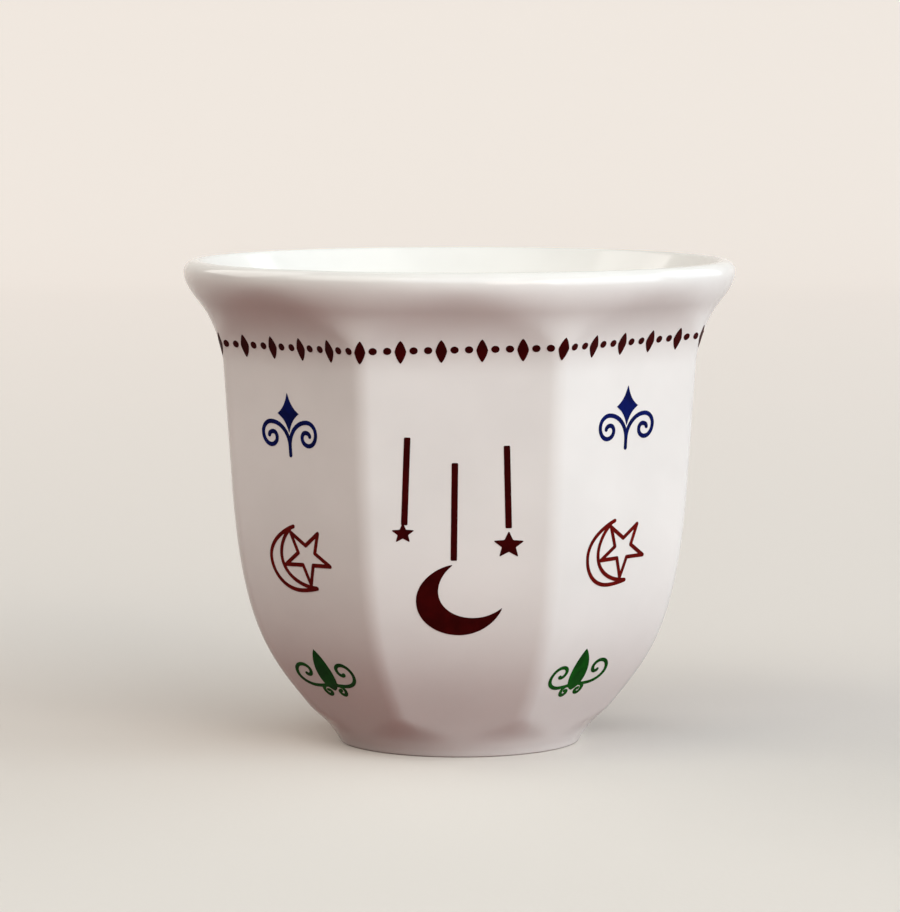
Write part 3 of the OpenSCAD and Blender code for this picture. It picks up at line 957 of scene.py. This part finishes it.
@dataclass
class Border(Transfer):
    """One side's stretch of the border: diamonds with two dots between each pair."""

    kind: ClassVar[str] = "border"
    rise: float = 2.76
    tilt: float = 1.3
    shift: float = 0.2
    diamonds: int = 5
    diamond_w: float = 1.28
    diamond_h: float = 2.7
    across_power: float = 1.46
    up_power: float = 1.56
    dot_w: float = 0.92
    dot_h: float = 0.84
    dot_step: float = 1.46
    dot_rise: float = 0.12
    diamond_steps: int = 40
    dot_steps: int = 24
    stray_shares: Pairs = (
        (-0.01, 0), (0.05, 0), (0.03, 0), (0.02, 0), (0, 0), (-0.04, 0.03), (-0.1, 0.07),
        (0.01, 0.01))

    @staticmethod
    def oval(w: float, h: float, powers: Pair, steps: int) -> Points:
        """Draw an oval whose flanks straighten as its powers grow from one to two.

        Args:
            w: Its width.
            h: Its height.
            powers: Its powers across and up.
            steps: Number of its points.

        Returns:
            Its outline about its middle.
        """
        t = np.arange(steps) * 2 * math.pi / steps
        c, s = np.cos(t), np.sin(t)
        return np.stack([w / 2 * np.sign(c) * np.abs(c) ** powers[0],
                         h / 2 * np.sign(s) * np.abs(s) ** powers[1]], 1)

    def shapes(self) -> list[FlatShape]:
        """Draw this side's diamonds and dots.

        Returns:
            Each diamond and each dot as a shape of its own.
        """
        wall = self.wall
        up = wall.wall_l + self.rise
        reach, level = wall.at(up)
        r = wall.edge_r(reach, level)
        side_w = 2 * (reach - r) * math.tan(HALF_ANGLE) + r * 2 * HALF_ANGLE
        pitch = side_w / self.diamonds
        number = list(Side).index(self.side)
        before, after = (np.array(self.stray_shares[n]) * pitch for n in (number - 1, number))
        diamond = self.oval(self.diamond_w, self.diamond_h, (self.across_power, self.up_power),
                            self.diamond_steps)
        dot = self.oval(self.dot_w, self.dot_h, (1, 1), self.dot_steps)
        shapes = []
        for i in range(self.diamonds):
            for outline, step, rise in ((diamond, 0.0, 0.0), (dot, self.dot_step, self.dot_rise),
                                        (dot, pitch - self.dot_step, self.dot_rise)):
                along = i * pitch + step
                stray = before + (after - before) * along / side_w
                across = along - side_w / 2 + self.shift + stray[0]
                right = self.side.turn(wall.laid(np.array([[across, up]]), 0.0))[0, 0]
                tilt = math.tan(math.radians(self.tilt)) * right
                shape = FlatShape()
                shape.fill(outline)
                shape.moved((across, up + tilt + stray[1] + rise))
                shapes.append(shape)
        return shapes


@dataclass
class MoonAndStars(Transfer):
    """A moon and two stars that hang from strings on one straight side."""

    kind: ClassVar[str] = "moon_and_stars"
    star_top_angle: float = 90.0
    string_w: float = 0.64
    moon_w: float = 9.55
    moon_h: float = 8.25
    moon_left: float = -4.86
    moon_rise: float = 18.4
    small_star_r: float = 1.26
    large_star_r: float = 1.72
    star_inner_share: float = 0.45
    corner_r: float = 0.1
    small_star_share: Pair = (-0.2835, 0.6301)
    large_star_share: Pair = (0.2432, 0.6026)
    string_shares: tuple[Pairs, ...] = (
        ((-0.2607, 0.8544), (-0.2763, 0.6507)),
        ((-0.0246, 0.7948), (-0.0304, 0.5666)),
        ((0.2325, 0.8353), (0.2423, 0.6437)),
    )
    moon_shares: Pairs = (
        (0.42, 1), (0.24, 0.97), (0, 0.77),
        (0, 0.5), (0, 0.2), (0.24, 0),
        (0.5, 0), (0.72, 0), (0.92, 0.17),
        (1, 0.39), (0.9, 0.29), (0.78, 0.245),
        (0.66, 0.245), (0.43, 0.245), (0.25, 0.41),
        (0.25, 0.63), (0.25, 0.79), (0.34, 0.93),
        (0.42, 1),
    )

    def shapes(self) -> list[FlatShape]:
        """Draw the strings, the stars and the moon.

        Returns:
            All of them as one shape.
        """
        size = np.array([self.wall.side_w, self.wall.wall_l])
        shape = FlatShape()
        for ends in self.string_shares:
            top, end = np.array(ends) * size
            aside = crosswise(unit(end - top)) * self.string_w / 2
            shape.fill(softened(strip((top, end), (aside, aside)), self.corner_r), self.soft_mm)
        for r, place in ((self.small_star_r, self.small_star_share),
                         (self.large_star_r, self.large_star_share)):
            outline = softened(star(r, self.star_inner_share, self.star_top_angle), self.corner_r)
            shape.fill(outline + np.array(place) * size, self.soft_mm)
        moon = chain(np.array(self.moon_shares) * [self.moon_w, self.moon_h],
                     self.curve_steps)[1:]
        shape.fill(moon + [self.moon_left, self.moon_rise], self.soft_mm)
        return [shape]


@dataclass
class CornerPrint(Transfer):
    """A small print on a side between two straight ones, with its own place on each."""

    width: float = 0.0
    height: float = 0.0
    flank_w: float = 0.0
    line_w: float = 0.0
    place_shares: Pairs = ()
    turn_angles: tuple[float, ...] = ()
    width_shares: tuple[float, ...] = (1, 1, 1, 1)
    flank_shares: Pairs = ()

    def own(self, values: Sequence[Any]) -> Any:
        """Pick this side's value from those of the four sides that have this print."""
        return values[CORNER_SIDES.index(self.side)]

    def scaled(self, shares: Pairs) -> Points:
        """Turn shares of the print's width and height into places on this side's print."""
        return np.array(shares) * [self.width * self.own(self.width_shares), self.height]

    def lines(self) -> list[Points]:
        """Draw the lines of even width."""
        raise NotImplementedError

    def shapes(self) -> list[FlatShape]:
        """Draw what the two flanks enclose and the lines, in their place on this side.

        Returns:
            Both as one shape.
        """
        shape = FlatShape()
        if self.flank_shares:
            right = chain(np.array(self.flank_shares) * [self.flank_w, self.height],
                          self.curve_steps)
            shape.fill(np.concatenate([right, mirrored(right)[::-1][1:-1]]), self.soft_mm)
        for line in self.lines():
            shape.line(line, self.line_w + 2 * self.soft_mm)
        across, up = self.own(self.place_shares)
        shape.moved((across * self.wall.side_w, up * self.wall.wall_l), self.own(self.turn_angles))
        return [shape]


@dataclass
class Fleuron(CornerPrint):
    """A diamond with hollow flanks over a stem that parts into two scrolls."""

    kind: ClassVar[str] = "fleuron"
    width: float = 8.6
    height: float = 7.0
    flank_w: float = 3.4
    line_w: float = 0.42
    place_shares: Pairs = (
        (-0.0054, 0.8168), (0, 0.8098), (0, 0.8098), (-0.0232, 0.7978))
    turn_angles: tuple[float, ...] = (0, 0, 0, 1.2)
    scroll_shares: Pairs = (
        (0, 0.14), (0.335, 0.543), (0.5, 0.36), (0.355, 0.165), (0.24, 0.285), (0.31, 0.378),
        (0.385, 0.32))
    flank_shares: Pairs = (
        (0, 1), (0.02, 0.985), (0.1, 0.775),
        (0.5, 0.675), (0.15, 0.59), (0.05, 0.45),
        (0, 0.37))

    def lines(self) -> list[Points]:
        """Draw the stem and the two scrolls."""
        curl = scroll(self.scaled(self.scroll_shares), True)
        return [np.array([[0, 0], curl[0] / 2, curl[0]]), curl, mirrored(curl)]


@dataclass
class Crescent(CornerPrint):
    """A crescent and a star inside it, both drawn in line."""

    kind: ClassVar[str] = "crescent"
    width: float = 9.4
    height: float = 7.65
    star_r: float = 3.7
    star_top_angle: float = -89.0
    star_inner_share: float = 0.375
    line_w: float = 0.38
    place_shares: Pairs = (
        (0.022, 0.5751), (0.035, 0.5686), (0.035, 0.5686), (0.046, 0.5591))
    turn_angles: tuple[float, ...] = (0, 0, 0, 1.5)
    width_shares: tuple[float, ...] = (0.98, 1, 1, 1.03)
    outer_shares: Pairs = (
        (-0.18, 0.44), (-0.34, 0.379), (-0.615, 0.209),
        (-0.615, -0.059), (-0.615, -0.314), (-0.44, -0.529),
        (-0.195, -0.529), (-0.09, -0.529), (0.01, -0.51),
        (0.1, -0.484))
    inner_shares: Pairs = (
        (-0.245, 0.399), (-0.358, 0.288), (-0.433, 0.131),
        (-0.433, -0.02), (-0.433, -0.301), (-0.18, -0.471),
        (0.09, -0.481))

    def lines(self) -> list[Points]:
        """Draw the crescent and its star.

        Returns:
            The crescent's two curves and the star's edges.
        """
        curves = [chain(self.scaled(shares), self.curve_steps)
                  for shares in (self.outer_shares, self.inner_shares)]
        corners = (star(self.star_r, self.star_inner_share, self.star_top_angle)
                   * [self.own(self.width_shares), 1])
        edges = [np.array([a, (a + b) / 2, b]) for a, b in zip(corners, np.roll(corners, -1, 0))]
        return curves + edges


@dataclass
class Leaf(CornerPrint):
    """A pointed blade between two scrolls that rise, with a small curl under each."""

    kind: ClassVar[str] = "leaf"
    width: float = 8.9
    height: float = 5.7
    flank_w: float = 2.6
    curve_steps: int = 24
    line_w: float = 0.4
    place_shares: Pairs = (
        (-0.084, 0.2092), (-0.05, 0.2052), (-0.05, 0.2052), (-0.026, 0.1992))
    turn_angles: tuple[float, ...] = (4, 2, 2, 5)
    width_shares: tuple[float, ...] = (0.98, 1, 1, 1.07)
    scroll_shares: Pairs = (
        (0.034, 0.158), (0.247, 0.123), (0.5, 0.421), (0.35, 0.662), (0.24, 0.526),
        (0.303, 0.4), (0.34, 0.43))
    curl_shares: Pairs = (
        (0.03, 0.16), (0.185, 0.015), (0.13, -0.115), (0.08, -0.04), (0.12, 0.01))
    flank_shares: Pairs = ((0, 1.015), (0.6, 0.69), (0.66, 0.12), (0, 0))

    def lines(self) -> list[Points]:
        """Draw the two scrolls and the two curls.

        Returns:
            The four lines.
        """
        arm = scroll(self.scaled(self.scroll_shares), True)
        curl = scroll(self.scaled(self.curl_shares), False)
        return [arm, mirrored(arm), curl, mirrored(curl)]


@dataclass(frozen=True)
class Softbox:
    """A flat lamp with a soft cover, as a studio has."""

    name: str
    place_m: tuple[float, float, float]
    width_m: float
    height_m: float
    watts: float
    colour: str
    target_m: tuple[float, float, float] = (0, 0, 0.03)

    def build(self) -> None:
        """Hang the lamp and turn it to its target."""
        lamp = bpy.data.lights.new(self.name, "AREA")
        lamp.shape = "RECTANGLE"
        lamp.size, lamp.size_y = self.width_m, self.height_m
        lamp.energy = self.watts
        lamp.color = linear(self.colour)[:3]
        piece = linked(self.name, lamp)
        piece.location = self.place_m
        away = Vector(self.target_m) - Vector(self.place_m)
        piece.rotation_euler = away.to_track_quat("-Z", "Y").to_euler()


@dataclass(frozen=True)
class SeamlessPaper:
    """Matt studio paper, rolled off a tube and swept up behind the cup.

    It is a plain warm cream with a faint fibre. Further back it glows, for the camera and in
    mirrors only: a painted light in place of a lamp behind it. What it throws back on the cup
    is dim and brown, and keeps a warm shade in the cup's lower part.
    """

    seen: str = "#e2dbd2"
    thrown: str = "#6d2c27"
    glow: str = "#afa9a3"
    glow_full_m: float = 0.95
    fibre_mm: float = 0.8
    fibre_detail: float = 2.0
    fibre_height_mm: float = 0.02
    roughness: float = 0.9

    def build(self) -> bpy.types.Material:
        """Build the material.

        Returns:
            The material.
        """
        maker = MaterialMaker("seamless_paper")
        fibre = maker.noise(self.fibre_mm, self.fibre_detail)
        path = add_node(maker.tree, "ShaderNodeLightPath")
        # One where the paper is looked at, in a mirror or not, and zero where it lights the cup.
        seen = path.outputs["Is Camera Ray"]
        for kind in ("Is Glossy Ray", "Is Transmission Ray"):
            either = add_node(maker.tree, "ShaderNodeMath", {"operation": "MAXIMUM"},
                              {0: seen, 1: path.outputs[kind]})
            seen = either.outputs[0]
        # Painted glow: the paper shines for the camera and in mirrors, more the further it lies
        # behind the cup, in place of a lamp behind it.
        apart = add_node(maker.tree, "ShaderNodeSeparateXYZ", links={"Vector": maker.place})
        far = add_node(maker.tree, "ShaderNodeMapRange", {"From Max": self.glow_full_m},
                       {"Value": apart.outputs["Y"]})
        painted_glow_share = add_node(maker.tree, "ShaderNodeMath", {"operation": "MULTIPLY"},
                       {0: seen, 1: far.outputs["Result"]})
        return maker.done({"Roughness": self.roughness, "Emission Strength": 1.0},
                          {"Base Color": maker.blend(seen, (self.thrown, self.seen)),
                           "Emission Color": maker.blend(painted_glow_share.outputs[0], ("#000000", self.glow)),
                           "Normal": maker.relief(fibre, self.fibre_height_mm)})


@dataclass(frozen=True)
class Studio:
    """Paper sweep, lamps, surroundings and camera."""

    lens_mm: float = 171.4
    film_mm: float = 36.0
    camera_m: tuple[float, float, float] = (-0.0011, -0.505, 0.0812)
    camera_fall: float = 5.42
    paper_w_m: float = 4.0
    paper_front_m: float = -1.5
    paper_back_m: float = 0.9
    paper_curve_m: float = 0.7
    paper_top_m: float = 2.2
    paper_steps: int = 24
    under_cup_m: float = 0.00002
    room_colour: str = "#fff4e9"
    room_strength: float = 0.11
    lamps: tuple[Softbox, ...] = (
        Softbox("key_softbox", (1.0, -0.5, 0.35), 1.2, 1.2, 14.2, "#e8f6ff"),
        Softbox("front_softbox", (0, -1.1, 1.1), 1.2, 1.2, 7.3, "#e9f4ff"),
        Softbox("fill_softbox", (0.6, -1.2, 0.5), 0.8, 0.7, 6.0, "#fff5ea"),
        Softbox("left_softbox", (-0.8, -0.5, 1.0), 1.0, 1.0, 5.7, "#fffdf2"),
        Softbox("right_rim_softbox", (1.0, 0.55, 0.5), 0.9, 0.9, 3.9, "#e9f4ff"),
        Softbox("left_rim_softbox", (-0.9, 0.5, 0.8), 0.9, 0.9, 4.7, "#fffaf7"),
    )

    def build_paper(self) -> None:
        """Roll out the paper: level under the cup and swept up behind it."""
        t = np.linspace(0, math.pi / 2, self.paper_steps + 1)
        bend = np.stack([self.paper_back_m + self.paper_curve_m * np.sin(t),
                         self.paper_curve_m * (1 - np.cos(t)) - self.under_cup_m], 1)
        line = np.concatenate([[[self.paper_front_m, -self.under_cup_m]], bend,
                               [[bend[-1, 0], self.paper_top_m]]])
        points = [(x, y, z) for y, z in line for x in (-self.paper_w_m / 2, self.paper_w_m / 2)]
        faces = [(2 * i, 2 * i + 1, 2 * i + 3, 2 * i + 2) for i in range(len(line) - 1)]
        paper = new_mesh("paper_sweep", np.array(points) / MM, faces)
        paper.data.materials.append(SeamlessPaper().build())

    def build_room(self) -> None:
        """Light the surroundings evenly."""
        world = bpy.data.worlds.new("studio_room")
        world.use_nodes = True
        world.node_tree.nodes.clear()
        light = add_node(world.node_tree, "ShaderNodeBackground",
                         {"Color": linear(self.room_colour), "Strength": self.room_strength})
        add_node(world.node_tree, "ShaderNodeOutputWorld",
                 links={"Surface": light.outputs["Background"]})
        bpy.context.scene.world = world

    def build_camera(self) -> None:
        """Set up the camera in front of the cup, a little above its rim."""
        camera = bpy.data.cameras.new("camera")
        camera.lens, camera.sensor_width = self.lens_mm, self.film_mm
        piece = linked("camera", camera)
        piece.location = self.camera_m
        piece.rotation_euler = (math.radians(90 - self.camera_fall), 0, 0)
        bpy.context.scene.camera = piece

    def build(self) -> None:
        """Build the whole studio."""
        self.build_paper()
        self.build_room()
        self.build_camera()
        for lamp in self.lamps:
            lamp.build()


def settle(piece: bpy.types.Object, node: str) -> None:
    """Seat a piece on the cup in place of its solid, and report it.

    Args:
        piece: The piece.
        node: The node that it stands for.
    """
    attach(piece, "root")
    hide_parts(node)
    LOG.info("%s stands for %s, %d faces", piece.name, node, len(piece.data.polygons))


def main() -> None:
    """Build the cup and its studio."""
    logging.basicConfig(level=logging.INFO, format="%(name)s: %(message)s")
    bpy.context.scene.view_settings.view_transform = "Standard"
    wall = CupWall(CupSizes())
    maroon = OnglazeEnamel("maroon_onglaze_enamel", "#320303", "#400505").build()
    blue = OnglazeEnamel("blue_onglaze_enamel", "#040d44", "#07165e").build()
    red = OnglazeEnamel("red_onglaze_enamel", "#580906", "#700f08").build()
    green = OnglazeEnamel("green_onglaze_enamel", "#033f04", "#08600a").build()
    body = CupBody(wall, GlazedPorcelain().build(), BareBiscuit().build())
    settle(body.build(), "cup_body")
    for side in Side:
        settle(Border(wall, side, maroon).build(), f"border_{side.label}")
    for side in STRAIGHT_SIDES:
        settle(MoonAndStars(wall, side, maroon).build(), f"moon_and_stars_{side.label}")
    for side in CORNER_SIDES:
        settle(Fleuron(wall, side, blue).build(), f"fleuron_{side.label}")
        settle(Crescent(wall, side, red).build(), f"crescent_{side.label}")
        settle(Leaf(wall, side, green).build(), f"leaf_{side.label}")
    Studio().build()


if __name__ == "__main__":
    main()
